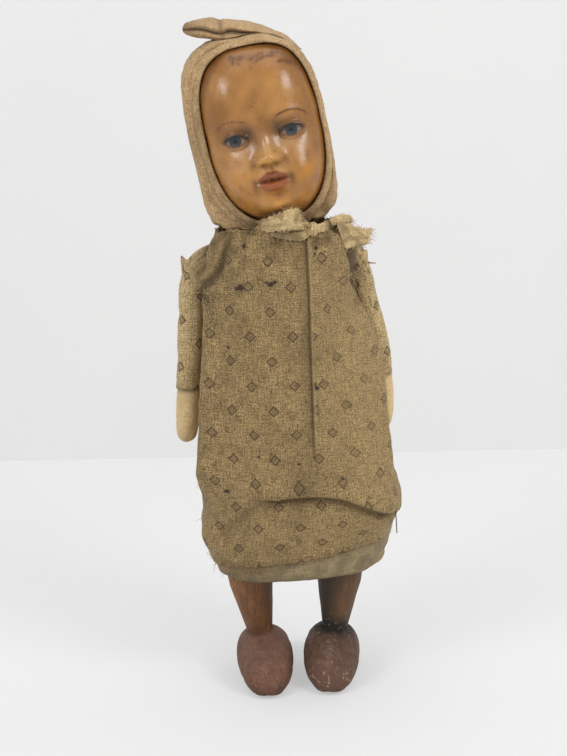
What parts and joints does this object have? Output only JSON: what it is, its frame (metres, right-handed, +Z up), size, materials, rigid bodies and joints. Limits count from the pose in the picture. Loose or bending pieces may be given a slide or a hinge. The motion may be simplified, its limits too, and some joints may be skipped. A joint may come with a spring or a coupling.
{
  "type": "baby doll",
  "caption": "Standing baby doll with a moulded face mask in a cloth hood, a print dress and petticoat, stuffed arms, turned wooden legs and carved shoes.",
  "frame": {"origin": "on the floor, below the middle of the doll", "axes": "+Z up from the soles to the crown; the doll faces -Y and its own left side is at +X"},
  "size_m": [0.1135, 0.086, 0.3515],
  "materials": {
    "printed_cotton": "faded printed cotton, matt",
    "hood_cotton": "plain unbleached cotton, matt and dusty",
    "petticoat_cotton": "plain cotton, matt and dusty",
    "arm_cotton": "plain pale cotton, matt",
    "body_cotton": "faded pink cotton over stuffing",
    "face_celluloid": "moulded celluloid, waxed and stained, glossy",
    "leg_wood": "turned wood, worn varnish",
    "shoe_wood": "carved wood, worn stain",
    "raw_wood": "bare wood",
    "iron_wire": "dull iron wire",
    "waxed_thread": "waxed thread"
  },
  "bodies": {
    "torso": {"hip_block": "raw_wood", "hip_axle": "iron_wire", "left_inner_hip_washer": "iron_wire", "left_outer_hip_washer": "iron_wire", "right_inner_hip_washer": "iron_wire", "right_outer_hip_washer": "iron_wire", "stuffed_torso": "body_cotton", "neck_peg": "raw_wood", "left_shoulder_thread": "waxed_thread", "right_shoulder_thread": "waxed_thread", "petticoat": "petticoat_cotton", "dress": "printed_cotton", "bow_knot": "hood_cotton", "bow_left_loop": "hood_cotton", "bow_right_loop": "hood_cotton"},
    "left_leg": {"left_leg": "leg_wood", "left_shoe": "shoe_wood"},
    "right_leg": {"right_leg": "leg_wood", "right_shoe": "shoe_wood"},
    "left_arm": {"left_arm": "arm_cotton", "left_sleeve": "printed_cotton"},
    "right_arm": {"right_arm": "arm_cotton", "right_sleeve": "printed_cotton"},
    "neck": {"neck_padding": "body_cotton"},
    "head": {"head_stuffing": "body_cotton", "face_mask": "face_celluloid", "hood": "hood_cotton", "hood_front_band": "hood_cotton", "hood_peak": "hood_cotton"}
  },
  "joints": [
    {"name": "left_hip", "type": "hinge", "parent": "torso", "child": "left_leg", "pos_m": [0.0301, 0, 0.105], "axis": [1, 0, 0], "range_deg": [-20, 20]},
    {"name": "right_hip", "type": "hinge", "parent": "torso", "child": "right_leg", "pos_m": [-0.0301, 0, 0.105], "axis": [1, 0, 0], "range_deg": [-20, 20]},
    {"name": "left_shoulder", "type": "hinge", "parent": "torso", "child": "left_arm", "pos_m": [0.0461, 0.013, 0.2223], "axis": [-0.7071, -0.7071, 0], "range_deg": [0, 90]},
    {"name": "right_shoulder", "type": "hinge", "parent": "torso", "child": "right_arm", "pos_m": [-0.0461, -0.001, 0.2223], "axis": [-0.7071, 0.7071, 0], "range_deg": [0, 90]},
    {"name": "head_tilt", "type": "hinge", "parent": "torso", "child": "neck", "pos_m": [-0.0007, 0.002, 0.2558], "axis": [0, 1, 0], "range_deg": [0, 20]},
    {"name": "head_turn", "type": "hinge", "parent": "neck", "child": "head", "pos_m": [-0.0007, 0.002, 0.2558], "axis": [-0.1788, 0, 0.9839], "range_deg": [-30, 30]}
  ]
}
